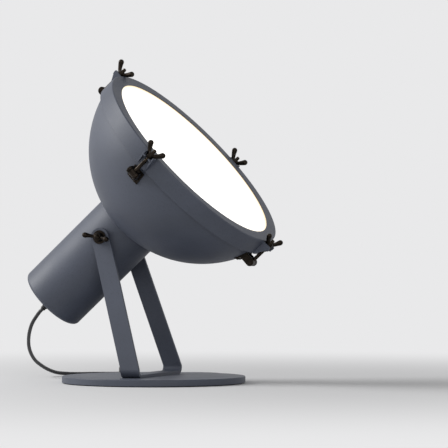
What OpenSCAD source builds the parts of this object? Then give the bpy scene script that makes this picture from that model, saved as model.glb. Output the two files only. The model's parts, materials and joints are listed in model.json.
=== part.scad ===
// Tabletop searchlight lamp: a bowl-shaped head with a swing-bolt bezel, a leaning U bracket and a round base.
// Millimetres. The origin is the middle of the underside, +X is the way the lamp faces, +Z is up,
// and -Y is the near side.

/* [Base] */
// Diameter of the round base plate
base_d = 297; // [280:1:330]
// Thickness of the base plate
base_t = 10; // [8:0.5:14]
// Rounding of the plate's upper rim
base_edge = 1.2; // [0.5:0.1:3]
// Thickness of the rubber pad under the plate
pad_t = 1.5; // [1:0.5:3]
// Distance of the pad's edge inside the plate's
pad_inset = 4; // [2:1:12]

/* [Bracket] */
// Width of the flat bar
bar_w = 30; // [24:1:36]
// Thickness of the flat bar
bar_t = 5; // [4:0.5:6]
// Backward lean of the two arms, in degrees
bar_lean = 17; // [10:0.5:22]
// Distance between the arms' middle planes at the foot
foot_span = 190; // [170:1:210]
// Place of the foot along X
foot_x = -3.5; // [-15:0.5:10]
// Inner radius of the bend at each foot
bend_r = 7; // [5:0.5:12]
// Height of the tilt axis
pivot_h = 236; // [228:1:260]
// Clear width between the arms at the tilt axis
arm_gap = 120; // [118:0.5:126]
// Height of each arm's upright cheek below the tilt axis
cheek_h = 18; // [16:1:24]
// Distance of each base screw from the middle of the foot
foot_screw_y = 45; // [25:1:60]
// Radius of the base screws
foot_screw_r = 3; // [2.5:0.5:4]

/* [Tilt lock] */
// Radius of the tilt studs
stud_r = 4; // [3:0.5:5]
// Radius of the bosses on the can
boss_r = 13; // [11:0.5:15]
// Thickness of the fibre washer inside each arm
fibre_t = 1.2; // [0.8:0.1:2]
// Thickness of the steel washer outside each arm
tilt_washer_t = 1.6; // [1:0.1:2.5]
// Height of the tilt nut's hub
tilt_hub_h = 10; // [8:0.5:13]
// Distance of each wing's round end from the nut's axis
tilt_wing_x = 18.5; // [15:0.5:21]
// Height of each wing's round end over the nut's seat
tilt_wing_h = 15; // [12:0.5:18]
// Turn of the tilt nuts' wings from the level, in degrees
tilt_wing_turn = 14.5; // [-90:0.5:90]

/* [Head] */
// Angle of the lamp axis above the level, in degrees
head_tilt = 42.5; // [30:0.5:55]
// Outer diameter of the can
can_d = 114; // [108:1:115]
// Length of the can behind the tilt axis
can_back = 151.5; // [135:0.5:165]
// Rounding of the can's rear edge
can_edge = 6; // [4:0.5:9]
// Diameter of the opening in the can's rear lip
can_mouth_d = 80; // [70:1:86]
// Outer radius of the bowl
bowl_r = 182.5; // [176:0.5:190]
// Distance from the tilt axis to the back of the bowl's sphere
bowl_start = 23.5; // [18:0.5:31]
// Distance from the bowl's centre back to its rim
rim_behind = 34; // [32:0.5:38]
// Width of the bowl's inward rim flange
rim_flange_w = 15; // [12:0.5:20]
// Sheet thickness of the bowl and the can
wall = 1.5; // [1:0.1:2]
// Width of the can's flange inside the bowl
can_flange_w = 12; // [11:0.5:16]

/* [Bezel] */
// Distance that the bezel's band stands out past the bowl at its rim
bezel_out = 2.7; // [2.4:0.1:5]
// Distance from the bowl's centre back to the bezel's front
bezel_behind = 16.5; // [14:0.5:20]
// Depth of the bezel's band
bezel_depth = 29; // [26:0.5:34]
// Sheet thickness of the bezel
bezel_wall = 2; // [1.5:0.1:2.5]
// Width of the bezel's front lip
lip_w = 21; // [16:0.5:26]
// Thickness of the front lip
lip_t = 1.6; // [1:0.1:2]
// Thickness of the gasket in front of the glass
gasket_t = 1; // [0.5:0.1:2]
// Thickness of the opal glass
glass_t = 6; // [4:0.5:7]
// Width of the gap between the glass and the band
glass_gap = 2.5; // [2:0.1:4]
// Width of the rear seal
seal_w = 8; // [6:0.5:9]
// Length of a glass clip round the band
clip_w = 12; // [8:1:20]

/* [Closures] */
// Radius of the swing bolts
bolt_r = 3; // [2.5:0.5:3.5]
// Distance of the bolts from the bezel's band
bolt_out = 7; // [6.8:0.1:9]
// Distance from the bowl's centre back to the hinge pins
pin_behind = 59; // [56:0.5:64]
// Radius of the hinge pins
pin_r = 2.5; // [2:0.25:3]
// Radius of the bolt's eye
eye_r = 6; // [5:0.25:6.5]
// Width of the bolt's eye
eye_w = 10; // [8:0.5:12]
// Thickness of each lug of a fork
lug_t = 4; // [3:0.5:5]
// Thickness of a fork's foot
fork_foot_t = 2.5; // [2:0.1:3.5]
// Distance from the bezel's front back to the nuts' seats
seat_behind = 6.5; // [5.5:0.5:9]
// Height of an ear's side plates over the band
ear_h = 14.5; // [12:0.5:16]
// Thickness of an ear's side plates
ear_t = 2.5; // [2:0.1:3]
// Clear width inside an ear
ear_gap = 16; // [14.5:0.5:20]
// Thickness of the closure washers
washer_t = 1.2; // [0.8:0.1:2]
// Height of the closure nut's hub
hub_h = 8; // [7:0.5:10]
// Distance of each wing's round end from the bolt
wing_x = 14; // [12:0.5:17]
// Height of each wing's round end over the nut's seat
wing_h = 16.5; // [14:0.5:19]

/* [Lamp and holder] */
// Outer radius of the lamp holder
holder_r = 20; // [18:0.5:22]
// Length of the lamp holder behind its bridge
holder_l = 44; // [38:1:50]
// Distance from the tilt axis to the bridge's back
bridge_z = 44; // [42:0.5:48]
// Width of the bridge strip
bridge_w = 46; // [42:1:52]
// Radius of the bulb
bulb_r = 30; // [27:0.5:34]

/* [Cord and its fittings] */
// Diameter of the cord
cord_d = 6; // [5:0.25:6.25]
// Length of the rubber boot outside the gland
boot_l = 19; // [15:0.5:30]
// Turns of the stowed coil
coil_turns = 4; // [2:1:5]
// Radius of the coil's outer turn
coil_r = 58; // [56:0.5:60]
// Distance between neighbouring turns
coil_pitch = 6.5; // [6.5:0.05:7]
// Length of the switch housing
switch_l = 54; // [46:1:60]
// Width of the switch housing
switch_w = 25; // [22:0.5:28]
// Height of the switch housing
switch_h = 16; // [14:0.5:19]
// Length of the plug's body
plug_l = 34; // [30:1:42]

/* [Hidden] */
$fn = 96;
// Segments of the bezel's circles
fine = 360;

// Clearances: a part that turns, one that slides, one that is fixed in its hole, and a loose one
turning = 0.05;
sliding = 0.1;
fixed = 0.02;
loose = 0.3;
// Length that a cut runs past the face it opens
past = 1;

// Colours as the lamp shows them
PAINT = "#3b404d";
STEEL = "#2a2826";
RUBBER = "#1c1c1e";
BRIGHT = "#b8b8b4";
OPAL = "#fff6e6";
PALE = "#d9d4c8";

// Base and bracket
base_top = pad_t + base_t;
bar_wx = bar_w / cos(bar_lean);
splay = atan((foot_span - arm_gap - bar_t) / 2 / (pivot_h - cheek_h - base_top - bar_t / 2));
bend_mid = bend_r + bar_t / 2;
bend_turn = 90 + splay;
bend_in = bend_mid * tan(bend_turn / 2);
bend_y = foot_span / 2 - bend_in;
bend_z = base_top + bar_t / 2 + bend_mid;
arm_z = bend_z + bend_mid * sin(splay);
cheek_z = pivot_h - cheek_h;
cheek_y = (arm_gap + bar_t) / 2;
function lean_x(z) = foot_x - tan(bar_lean) * (z - arm_z);
pivot_x = lean_x(pivot_h);
foot_head_r = 2.1 * foot_screw_r;
foot_head_sink = 0.4;

// Tilt lock, measured out from the middle along the tilt axis
fibre_y = arm_gap / 2 - fibre_t;
tilt_washer_y = arm_gap / 2 + bar_t;
tilt_nut_y = tilt_washer_y + tilt_washer_t;
tilt_hub_r = 2 * stud_r;
stud_end = tilt_nut_y + tilt_hub_h + 4;
stud_head_r = 11;
stud_head_t = 3;
boss_root = 8;

// Head, along the lamp axis from the tilt axis
can_r = can_d / 2;
bowl_ahead = bowl_start + bowl_r;
rim_z = bowl_ahead - rim_behind;
function ball_r(r, z) = sqrt(r * r - (bowl_ahead - z) * (bowl_ahead - z));
cap_z = -can_back + wall;
cap_r = can_r - can_edge - 0.5;
cap_screw_c = (can_mouth_d / 2 + cap_r) / 2;
cap_screw_r = 1.5;
gland_r = 11;
gland_flange = 5;
gland_bore = cord_d / 2 + 1.5;
gland_neck_r = gland_bore + 3;
gland_neck_l = 12;
locknut_t = 5;
boot_end = cap_z - gland_flange - boot_l;
boot_collar = 3;
cap_screw_l = 7;
cap_head_r = 3;
cap_head_t = 2;
cap_nut_r = 3.1;
cap_nut_t = 2.4;
boss_c = can_r + 5;
bridge_t = 2;
bridge_boss_r = 4.5;
bridge_screw_r = 2;
bridge_screw_l = 5;
holder_neck_r = holder_r - 3;
holder_neck_l = 14;
holder_ring_t = 6;
bulb_cap_r = 13.2;
bulb_cap_l = 27;
bulb_seat = 9;
bulb_neck_l = 21;

// Bezel
bezel_r = ball_r(bowl_r, rim_z) + bezel_out;
bezel_in = bezel_r - bezel_wall;
bezel_front = bowl_ahead - bezel_behind;
bezel_rear = bezel_front - bezel_depth;
lip_r = bezel_r - lip_w;
glass_front = bezel_front - lip_t - gasket_t;
glass_rear = glass_front - glass_t;
glass_r = bezel_in - glass_gap;
seal_r = glass_r - 4.5;
clip_t = 1.5;
clip_foot_t = 1.2;
gasket_inset = 2;

// Closures, each in its own frame: x out from the lamp axis, y round the bezel, z along the lamp axis
CLOSURES = [["top", 180, 0], ["near", 270, 90], ["far", 90, 90], ["bottom", 0, 63]];
bolt_c = bezel_r + bolt_out;
pin_z = bowl_ahead - pin_behind;
seat_z = bezel_front - seat_behind;
seat_l = seat_z - pin_z;
bolt_end = seat_z + washer_t + hub_h + 6;
lug_in = eye_w / 2 + loose;
lug_out = lug_in + lug_t;
lug_r = eye_r + 0.5;
lug_reach = 30;
pin_head_t = 1.5;
nut_z = seat_z + washer_t;
hub_r = bolt_out - 0.6;
fork_rim = 2;
fork_behind = 14;
fork_ahead = 8;
rivet_r = 3;
rivet_dome = 3.4;
rivet_back = 10.5;
rivet_y = 6;
ear_rear = bezel_rear + 0.5;
ear_root = 2;
ear_seat_t = 3;
ear_slot = bolt_r + 0.5;

// Cord and what is on it
cord_r = cord_d / 2;
floor_z = cord_r + 0.1;
stow_turn = 22;
function stowed(points) = [for (p = points)
    [p.x * cos(stow_turn) - p.y * sin(stow_turn), p.x * sin(stow_turn) + p.y * cos(stow_turn), p.z]];
function along_axis(z) = [pivot_x + z * cos(head_tilt), 0, pivot_h + z * sin(head_tilt)];
switch_at = [-44.5, 211];
switch_z = 7;
switch_gap = 0.3;
switch_wall = 2;
switch_corner = 7;
// Height at which the switch's two shells meet
split_z = 8;
switch_screw_r = 1.5;
switch_post_r = 3.4;
rocker_l = 13;
rocker_w = 9;
rocker_axis = 10.5;
rocker_pin_r = 1.5;
// Turn of the rocker in its on position, in degrees
rocker_rest = 9;
plug_at = [33, 282];
plug_z = 7.5;
plug_w = 26;
plug_h = 13.6;
plug_neck_l = 14;
pin_pitch = 9.3;
plug_pin_r = 2;
plug_pin_l = 25.5;
plug_pin_in = 8;
coil_at = [62.5, 203];
lift_z = floor_z + 6.6;

// The cord hangs from the boot, lands behind the base and runs to the switch
hanging_route = concat(
    [along_axis(boot_end), along_axis(boot_end - 7)],
    [[-216, 5, 96.5], [-228, 19, 81], [-238, 37, 66.5], [-246, 57, 52.5], [-251, 78, 40], [-254, 101, 29],
        [-254, 125, 20], [-251, 148, 12]],
    stowed([[-163, 249, 6], [-145, 260, 3.8], [-126, 267, floor_z], [-106, 272, floor_z],
        [-88, 274.5, floor_z], [-72, 273.5, floor_z], [-59, 268, 3.6], [-49, 258, 5.2],
        [switch_at.x, switch_at.y + switch_l / 2 + 7, switch_z],
        [switch_at.x, switch_at.y + switch_l / 2, switch_z]]));
// From the switch it turns back beside the base into the coil
middle_route = stowed([[switch_at.x, switch_at.y - switch_l / 2, switch_z],
    [switch_at.x, switch_at.y - switch_l / 2 - 7, switch_z], [-41.2, 164.8, 5.2], [-32.2, 155.8, 3.6],
    [-20, 152.5, floor_z], [-7.8, 155.8, floor_z], [1.2, 164.8, floor_z], [4.5, 177, floor_z],
    [4.5, 190, floor_z], [coil_at.x - coil_r, coil_at.y, floor_z]]);
// The coil winds inwards on the floor, and its last quarter turn climbs over the other turns
coil_steps = 24;
coil_inner = coil_r - coil_turns * coil_pitch;
function coil_z(turn) = let (up = max(0, 4 * (turn - coil_turns) + 1))
    floor_z + (lift_z - floor_z) * up * up * (3 - 2 * up);
coil_route = stowed([for (i = [0:coil_turns * coil_steps])
    let (turn = i / coil_steps, r = coil_r - coil_pitch * turn)
    [coil_at.x - r * cos(360 * turn), coil_at.y + r * sin(360 * turn), coil_z(turn)]]);
// From there it crosses the turns to the plug
tail_route = stowed([[coil_at.x - coil_inner, coil_at.y, lift_z], [30.7, 214, lift_z], [31.4, 226, lift_z],
    [32.4, 238, lift_z], [33, 250, lift_z], [33, 260, 8.8], [33, 268, 7.8], [33, plug_at.y - 7, plug_z],
    [33, plug_at.y, plug_z]]);
// Inside the head the lead runs from the boot's end to the lamp holder
lead_route = [for (p = [[0, boot_end], [0, boot_end + 12], [0, cap_z - 2], [0, cap_z + 13], [0, cap_z + 24],
    [5, -105], [10, -80], [8, -52], [2, -28], [0, bridge_z - holder_l - 9], [0, bridge_z - holder_l]])
    [p.x, 0, p.y]];

coil_gap = min([for (i = [0:len(coil_route) - 1]) for (j = [i + 12:1:len(coil_route) - 1])
    norm(coil_route[i] - coil_route[j])]) - cord_d;
echo(str("least gap between the coil's turns, mm: ", coil_gap));

// A point on a smooth curve through the route's points, t from 0 to the number of stretches
function route_end(route, i) = route[min(max(i, 0), len(route) - 1)];
function on_route(route, t) =
    let (i = min(floor(t), len(route) - 2), s = t - i,
        a = route_end(route, i - 1), b = route[i], c = route[i + 1], d = route_end(route, i + 2))
    0.5 * (2 * b + (c - a) * s + (2 * a - 5 * b + 4 * c - d) * s * s + (3 * b - a - 3 * c + d) * s * s * s);
// The curve's points. The first and the last stretch stay straight, so that the ends meet their fittings.
function smooth(route, steps) = let (last = (len(route) - 1) * steps) [for (k = [0:last])
    if (k == 0 || k == last || (k >= steps && k <= last - steps)) on_route(route, k / steps)];
function unit(v) = v / norm(v);
function heading(path, i) = unit(route_end(path, i + 1) - route_end(path, i - 1));
// Each ring's sideways direction is the last one's, less its part along the new heading
function carried(path, i, side) =
    let (h = heading(path, i)) unit(side - (side * h) * h);
function sides_of(path, first) = [for (i = 0, s = carried(path, 0, first); i < len(path);
    i = i + 1, s = carried(path, min(i, len(path) - 1), s)) s];

// A closed round tube along a path, with corners on the circle of the radius r
module tube(path, r, corners, side) {
    sides = sides_of(path, side);
    rings = [for (i = [0:len(path) - 1]) let (h = heading(path, i), u = sides[i], v = cross(h, u))
        for (k = [0:corners - 1]) path[i] + r * (cos(360 * k / corners) * u + sin(360 * k / corners) * v)];
    walls = [for (i = [0:len(path) - 2]) for (k = [0:corners - 1])
        let (a = i * corners + k, b = i * corners + (k + 1) % corners)
        each [[a, a + corners, b], [b, a + corners, b + corners]]];
    last = (len(path) - 1) * corners;
    ends = [for (k = [1:corners - 2]) each [[0, k, k + 1], [last, last + k + 1, last + k]]];
    polyhedron(rings, concat(walls, ends));
}

// Puts its children in the head's frame: z along the lamp axis from the tilt axis
module on_head() translate([pivot_x, 0, pivot_h]) rotate([0, 90 - head_tilt, 0]) children();
module at_closure(angle) on_head() rotate([0, 0, angle]) children();
module on_tilt_axis(side) translate([pivot_x, 0, pivot_h]) rotate([-90 * side, 0, 0]) children();
module stow(at) rotate([0, 0, stow_turn]) translate(at) children();
// A cylinder along y, centred on the origin
module across(r, l) rotate([90, 0, 0]) cylinder(r = r, h = l, center = true);
module ring(outer, inner, h) difference() {
    cylinder(r = outer, h = h);
    translate([0, 0, -past]) cylinder(r = inner, h = h + 2 * past);
}
// A flat bar with rounded corners, centred, standing on z = 0
module rounded_slab(size, r) {
    translate([0, 0, size.z / 2]) cube([size.x - 2 * r, size.y, size.z], center = true);
    translate([0, 0, size.z / 2]) cube([size.x, size.y - 2 * r, size.z], center = true);
    for (x = [-1, 1], y = [-1, 1]) translate([x * (size.x / 2 - r), y * (size.y / 2 - r), 0])
        cylinder(r = r, h = size.z);
}

// ---- base ----
module base_plate() color(PAINT) difference() {
    translate([0, 0, pad_t]) rotate_extrude() {
        square([base_d / 2 - base_edge, base_t]);
        square([base_d / 2, base_t - base_edge]);
        translate([base_d / 2 - base_edge, base_t - base_edge]) circle(base_edge);
    }
    for (side = [-1, 1]) translate([foot_x, side * foot_screw_y, 0]) {
        cylinder(r = foot_screw_r + 2 * sliding, h = base_top + past);
        translate([0, 0, pad_t - past]) cylinder(r = foot_head_r + 2 * sliding, h = past + foot_head_sink);
        translate([0, 0, pad_t + foot_head_sink])
            cylinder(r1 = foot_head_r + 2 * sliding, r2 = foot_screw_r + 2 * sliding, h = foot_screw_r);
    }
}

module base_pad() color(RUBBER) cylinder(r = base_d / 2 - pad_inset, h = pad_t);

// One flat bar: a web on the base, a bend at each foot, two splayed arms, and an upright cheek at the top of
// each. It is the bar's shape as seen from the front, cut to its outline as seen from the side.
module bracket() color(PAINT) difference() {
    intersection() {
        rotate([90, 0, 90]) linear_extrude(2 * base_d, center = true) difference() {
            bracket_front(bar_t / 2);
            bracket_front(-bar_t / 2);
        }
        rotate([90, 0, 0]) linear_extrude(2 * foot_span, center = true) bracket_side();
    }
    translate([pivot_x, 0, pivot_h]) across(stud_r + turning, arm_gap + 4 * bar_t);
    for (side = [-1, 1]) translate([foot_x, side * foot_screw_y, base_top - past])
        cylinder(r = foot_screw_r + fixed, h = bar_t + 2 * past);
}

// What the bar's middle line holds, grown by half the bar for its outside or shrunk for its inside
module bracket_front(grow) {
    low = base_top + bar_t / 2 - grow;
    high = pivot_h + bar_w;
    corner = bend_mid + grow;
    for (side = [0, 1]) mirror([side, 0]) {
        polygon([[-past, low], [bend_y, low], [bend_y + corner * cos(splay), bend_z + corner * sin(splay)],
            [cheek_y + grow, cheek_z + grow * tan(splay / 2)], [cheek_y + grow, high - grow],
            [-past, high - grow]]);
        translate([bend_y, bend_z]) circle(corner);
    }
}

module bracket_side() {
    polygon([[foot_x - bar_wx / 2, 0], [foot_x + bar_wx / 2, 0], [foot_x + bar_wx / 2, arm_z],
        [pivot_x + bar_w / 2 * cos(bar_lean), pivot_h + bar_w / 2 * sin(bar_lean)],
        [pivot_x - bar_w / 2 * cos(bar_lean), pivot_h - bar_w / 2 * sin(bar_lean)],
        [foot_x - bar_wx / 2, arm_z]]);
    translate([pivot_x, pivot_h]) circle(bar_w / 2);
}

module base_screws() color(STEEL)
    for (side = [-1, 1]) translate([foot_x, side * foot_screw_y, pad_t + foot_head_sink]) {
        cylinder(r1 = foot_head_r, r2 = foot_screw_r, h = foot_screw_r);
        cylinder(r = foot_screw_r, h = base_t + bar_t - 1);
    }

// ---- tilt lock ----
module fibre_washers() color("#4a3526") for (side = [-1, 1]) on_tilt_axis(side)
    translate([0, 0, fibre_y]) ring(boss_r, stud_r + sliding, fibre_t);

// Saddle-shaped bosses that carry the studs on the can's sides
module can_bosses() color(PAINT) difference() {
    for (side = [-1, 1]) on_tilt_axis(side) translate([0, 0, can_r - boss_root])
        cylinder(r = boss_r, h = fibre_y - can_r + boss_root);
    on_head() cylinder(r = can_r, h = 6 * boss_r, center = true);
    on_head() across(stud_r + fixed, 2 * arm_gap);
}

// Each stud has a saddle head inside the can
module tilt_studs() color(STEEL) for (side = [-1, 1]) {
    intersection() {
        on_tilt_axis(side) translate([0, 0, can_r - wall - stud_head_t - 1])
            cylinder(r = stud_head_r, h = 3 * stud_head_t);
        on_head() cylinder(r = can_r - wall, h = 6 * boss_r, center = true);
    }
    on_tilt_axis(side) translate([0, 0, can_r - wall - stud_head_t])
        cylinder(r = stud_r, h = stud_end - can_r + wall + stud_head_t);
}

module tilt_washer(side) color(STEEL) on_tilt_axis(side)
    translate([0, 0, tilt_washer_y]) ring(stud_r + 7, stud_r + sliding, tilt_washer_t);

// Wing nut on z = 0 with its wings along x: a tapered hub, two flat wings and their round ends
module wing_nut(thread_r, hub, hub_height, end_x, end_h, end_r, thick) difference() {
    union() {
        cylinder(r1 = hub, r2 = 0.82 * hub, h = hub_height);
        rotate([90, 0, 0]) linear_extrude(thick, center = true) for (side = [0, 1]) mirror([side, 0]) {
            rise = atan((end_h - 0.62 * hub_height) / (end_x - thread_r));
            polygon([[thread_r + 0.6, 0.46 * hub_height], [0.95 * hub, 0.48 * hub_height],
                [end_x + end_r * sin(rise), end_h - end_r * cos(rise)],
                [end_x - end_r * sin(rise), end_h + end_r * cos(rise)], [thread_r + 0.6, 0.98 * hub_height]]);
            translate([end_x, end_h]) circle(end_r);
        }
    }
    translate([0, 0, -past]) cylinder(r = thread_r + turning, h = end_h + end_r + 2 * past);
}

module tilt_nut(side) color(STEEL) on_tilt_axis(side) translate([0, 0, tilt_nut_y])
    rotate([0, 0, side * tilt_wing_turn])
        wing_nut(stud_r, tilt_hub_r, tilt_hub_h, tilt_wing_x, tilt_wing_h, 4.6, 3);

// ---- can ----
// Spun can: a rolled rear lip, a tube, and a flange that follows the inside of the bowl
module can_shell() color(PAINT) difference() {
    on_head() {
        rotate_extrude() difference() {
            union() {
                translate([can_mouth_d / 2, -can_back]) square([can_r - can_edge - can_mouth_d / 2, wall]);
                difference() {
                    translate([can_r - can_edge, can_edge - can_back]) circle(can_edge);
                    translate([can_r - can_edge, can_edge - can_back]) circle(can_edge - wall);
                    translate([0, can_edge - can_back]) square([2 * can_r, 2 * can_edge]);
                    translate([0, -can_back - past]) square([can_r - can_edge, 3 * can_edge]);
                }
                translate([can_r - wall, can_edge - can_back]) square([wall, can_back + bridge_z - can_edge]);
                intersection() {
                    translate([can_r - wall, 0]) square([can_flange_w + wall, bridge_z]);
                    translate([0, bowl_ahead]) circle(bowl_r - wall);
                }
            }
            translate([0, bowl_ahead]) circle(bowl_r - 2 * wall);
        }
        difference() {
            intersection() {
                for (side = [-1, 1]) translate([side * boss_c, 0, 0]) cylinder(r = bridge_boss_r, h = bridge_z);
                translate([0, 0, bowl_ahead]) sphere(bowl_r - wall);
            }
            for (side = [-1, 1]) translate([side * boss_c, 0, bridge_z - bridge_screw_l - 0.5])
                cylinder(r = bridge_screw_r + fixed, h = bridge_screw_l + past);
        }
    }
    on_head() across(stud_r + fixed, 2 * arm_gap);
    on_head() for (a = [0, 120, 240]) rotate([0, 0, a]) translate([cap_screw_c, 0, -can_back - past])
        cylinder(r = cap_screw_r + sliding, h = wall + 2 * past);
}

module rear_cap() color(PAINT) on_head() translate([0, 0, cap_z]) difference() {
    cylinder(r = cap_r, h = wall);
    translate([0, 0, -past]) cylinder(r = gland_neck_r + sliding, h = wall + 2 * past);
    for (a = [0, 120, 240]) rotate([0, 0, a]) translate([cap_screw_c, 0, -past])
        cylinder(r = cap_screw_r + sliding, h = wall + 2 * past);
}

module cap_screws() color(STEEL) on_head() for (a = [0, 120, 240]) rotate([0, 0, a])
    translate([cap_screw_c, 0, -can_back]) {
        cylinder(r = cap_screw_r, h = cap_screw_l);
        // A domed head with a slot
        difference() {
            intersection() {
                translate([0, 0, cap_head_t + 0.2]) sphere(2 * cap_head_t);
                translate([0, 0, -cap_head_t]) cylinder(r = cap_head_r, h = cap_head_t);
            }
            translate([0, 0, -cap_head_t]) cube([0.8, 2 * cap_head_r, 1.4], center = true);
        }
    }

module cap_nuts() color(BRIGHT) on_head() for (a = [0, 120, 240]) rotate([0, 0, a])
    translate([cap_screw_c, 0, cap_z + wall]) difference() {
        cylinder(r = cap_nut_r, h = cap_nut_t, $fn = 6);
        translate([0, 0, -past]) cylinder(r = cap_screw_r + fixed, h = cap_nut_t + 2 * past);
    }

// Gland through the rear cap, with a hexagon outside
module cord_gland() color(STEEL) on_head() translate([0, 0, cap_z]) difference() {
    union() {
        translate([0, 0, -gland_flange]) cylinder(r = gland_r, h = gland_flange, $fn = 6);
        cylinder(r = gland_neck_r, h = gland_neck_l);
    }
    translate([0, 0, -gland_flange - past])
        cylinder(r = gland_bore + fixed, h = gland_flange + gland_neck_l + 2 * past);
}

module gland_locknut() color(BRIGHT) on_head() translate([0, 0, cap_z + wall]) difference() {
    cylinder(r = gland_r, h = locknut_t, $fn = 6);
    translate([0, 0, -past]) cylinder(r = gland_neck_r + fixed, h = locknut_t + 2 * past);
}

// Tapered rubber boot: its neck sits in the gland, and its tail guides the cord
module cord_boot() color(RUBBER) on_head() difference() {
    union() {
        translate([0, 0, cap_z - gland_flange]) cylinder(r = gland_bore, h = gland_flange + 10);
        translate([0, 0, cap_z - gland_flange - boot_collar]) cylinder(r = gland_neck_r, h = boot_collar);
        translate([0, 0, boot_end])
            cylinder(r1 = cord_r + 1.1, r2 = gland_bore + 2.2, h = boot_l - boot_collar);
    }
    translate([0, 0, boot_end - past]) cylinder(r = cord_r + fixed, h = boot_l + gland_flange + gland_neck_l);
}

module inner_lead() color(RUBBER) on_head() tube(smooth(lead_route, 2), cord_r, 8, [1, 0, 0]);

// ---- bowl, lamp holder and lamp ----
module bowl_shell() color(PAINT) on_head() rotate_extrude() {
    intersection() {
        translate([0, bowl_ahead]) difference() {
            circle(bowl_r);
            circle(bowl_r - wall);
        }
        translate([can_r, 0]) square([bowl_r, rim_z]);
    }
    translate([ball_r(bowl_r, rim_z) - rim_flange_w, rim_z - wall])
        square([rim_flange_w - wall / 2, wall]);
}

module lamp_holder() color(PALE) on_head() translate([0, 0, bridge_z]) difference() {
    union() {
        translate([0, 0, -holder_l]) cylinder(r = holder_r, h = holder_l);
        cylinder(r = holder_neck_r, h = holder_neck_l);
    }
    translate([0, 0, bulb_seat - bulb_cap_l - 6])
        cylinder(r = bulb_cap_r + 0.4, h = bulb_cap_l + 2 * holder_neck_l);
}

module holder_ring() color(PALE) on_head() translate([0, 0, bridge_z + bridge_t])
    ring(holder_r + 3, holder_neck_r + fixed, holder_ring_t);

module holder_bridge() color(BRIGHT) on_head() translate([0, 0, bridge_z]) difference() {
    intersection() {
        translate([0, 0, bridge_t / 2]) cube([2 * can_d, bridge_w, bridge_t], center = true);
        cylinder(r = boss_c + 6, h = 2 * bridge_t);
    }
    translate([0, 0, -past]) cylinder(r = holder_neck_r + sliding, h = bridge_t + 2 * past);
    for (side = [-1, 1]) translate([side * boss_c, 0, -past])
        cylinder(r = bridge_screw_r + sliding, h = bridge_t + 2 * past);
}

module bridge_screws() color(BRIGHT) on_head() for (side = [-1, 1]) translate([side * boss_c, 0, bridge_z]) {
    translate([0, 0, -bridge_screw_l]) cylinder(r = bridge_screw_r, h = bridge_screw_l + bridge_t + 1);
    translate([0, 0, bridge_t]) cylinder(r = bridge_screw_r + 1.8, h = 2.4);
}

module bulb_cap() color(BRIGHT) on_head() translate([0, 0, bridge_z + bulb_seat - bulb_cap_l])
    cylinder(r = bulb_cap_r, h = bulb_cap_l);

// Hollow pear-shaped lamp
module bulb_glass() color(OPAL) on_head() translate([0, 0, bridge_z + bulb_seat])
    rotate_extrude() difference() {
        bulb_outline(bulb_r, bulb_cap_r - 0.2, 0);
        bulb_outline(bulb_r - 1, bulb_cap_r - 1.2, 1);
    }
module bulb_outline(r, neck, floor) intersection() {
    middle = bulb_neck_l + bulb_r;
    union() {
        translate([0, middle]) circle(r);
        polygon([[0, floor], [neck, floor], [neck, 4], [0.84 * r, middle - 0.54 * r], [0, middle]]);
    }
    translate([0, floor]) square([2 * bulb_r, 3 * bulb_r]);
}

// ---- closures ----
// Forks on the bowl, behind the bezel: two lugs on a foot that follows the bowl
module forks() color(STEEL) for (c = CLOSURES) at_closure(c[1]) difference() {
    union() {
        for (side = [-1, 1]) translate([0, side * (lug_in + lug_t / 2), 0]) {
            translate([bolt_c, 0, pin_z]) across(lug_r, lug_t);
            translate([bolt_c - lug_reach, -lug_t / 2, pin_z - lug_r]) cube([lug_reach, lug_t, 2 * lug_r]);
        }
        intersection() {
            translate([bolt_c - 1.5 * lug_reach, -lug_out - fork_rim, pin_z - fork_behind])
                cube([1.5 * lug_reach, 2 * (lug_out + fork_rim), fork_behind + fork_ahead]);
            translate([0, 0, bowl_ahead]) sphere(bowl_r + fork_foot_t);
        }
    }
    translate([0, 0, bowl_ahead]) sphere(bowl_r);
    translate([bolt_c, 0, pin_z]) across(pin_r + fixed, 3 * lug_out);
}

module fork_rivets() color(STEEL) for (c = CLOSURES, side = [-1, 1])
    at_closure(c[1] + side * rivet_y / bowl_r * 180 / PI) translate([0, 0, bowl_ahead])
        rotate([0, 90 + asin((pin_behind + rivet_back) / bowl_r), 0])
            translate([0, 0, bowl_r + fork_foot_t]) intersection() {
                translate([0, 0, -sqrt(rivet_dome * rivet_dome - rivet_r * rivet_r)]) sphere(rivet_dome);
                cylinder(r = rivet_r, h = rivet_r);
            }

module fork_pins() color(STEEL) for (c = CLOSURES) at_closure(c[1]) translate([bolt_c, 0, pin_z]) {
    across(pin_r, 2 * lug_out);
    for (side = [-1, 1]) translate([0, side * (lug_out + pin_head_t / 2), 0])
        across(pin_r + pin_head_t, pin_head_t);
}

module swing_bolt(i) color(STEEL) at_closure(CLOSURES[i][1]) difference() {
    union() {
        translate([bolt_c, 0, pin_z]) across(eye_r, eye_w);
        translate([bolt_c, 0, pin_z]) cylinder(r = bolt_r, h = bolt_end - pin_z);
    }
    translate([bolt_c, 0, pin_z]) across(pin_r + turning, eye_w + 2 * past);
}

module bolt_washer(i) color(STEEL) at_closure(CLOSURES[i][1]) translate([bolt_c, 0, seat_z])
    ring(hub_r, bolt_r + sliding, washer_t);

module closure_nut(i) color(STEEL) at_closure(CLOSURES[i][1]) translate([bolt_c, 0, nut_z])
    rotate([0, 0, CLOSURES[i][2]]) wing_nut(bolt_r, hub_r, hub_h, wing_x, wing_h, 3.9, 2.6);

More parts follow.
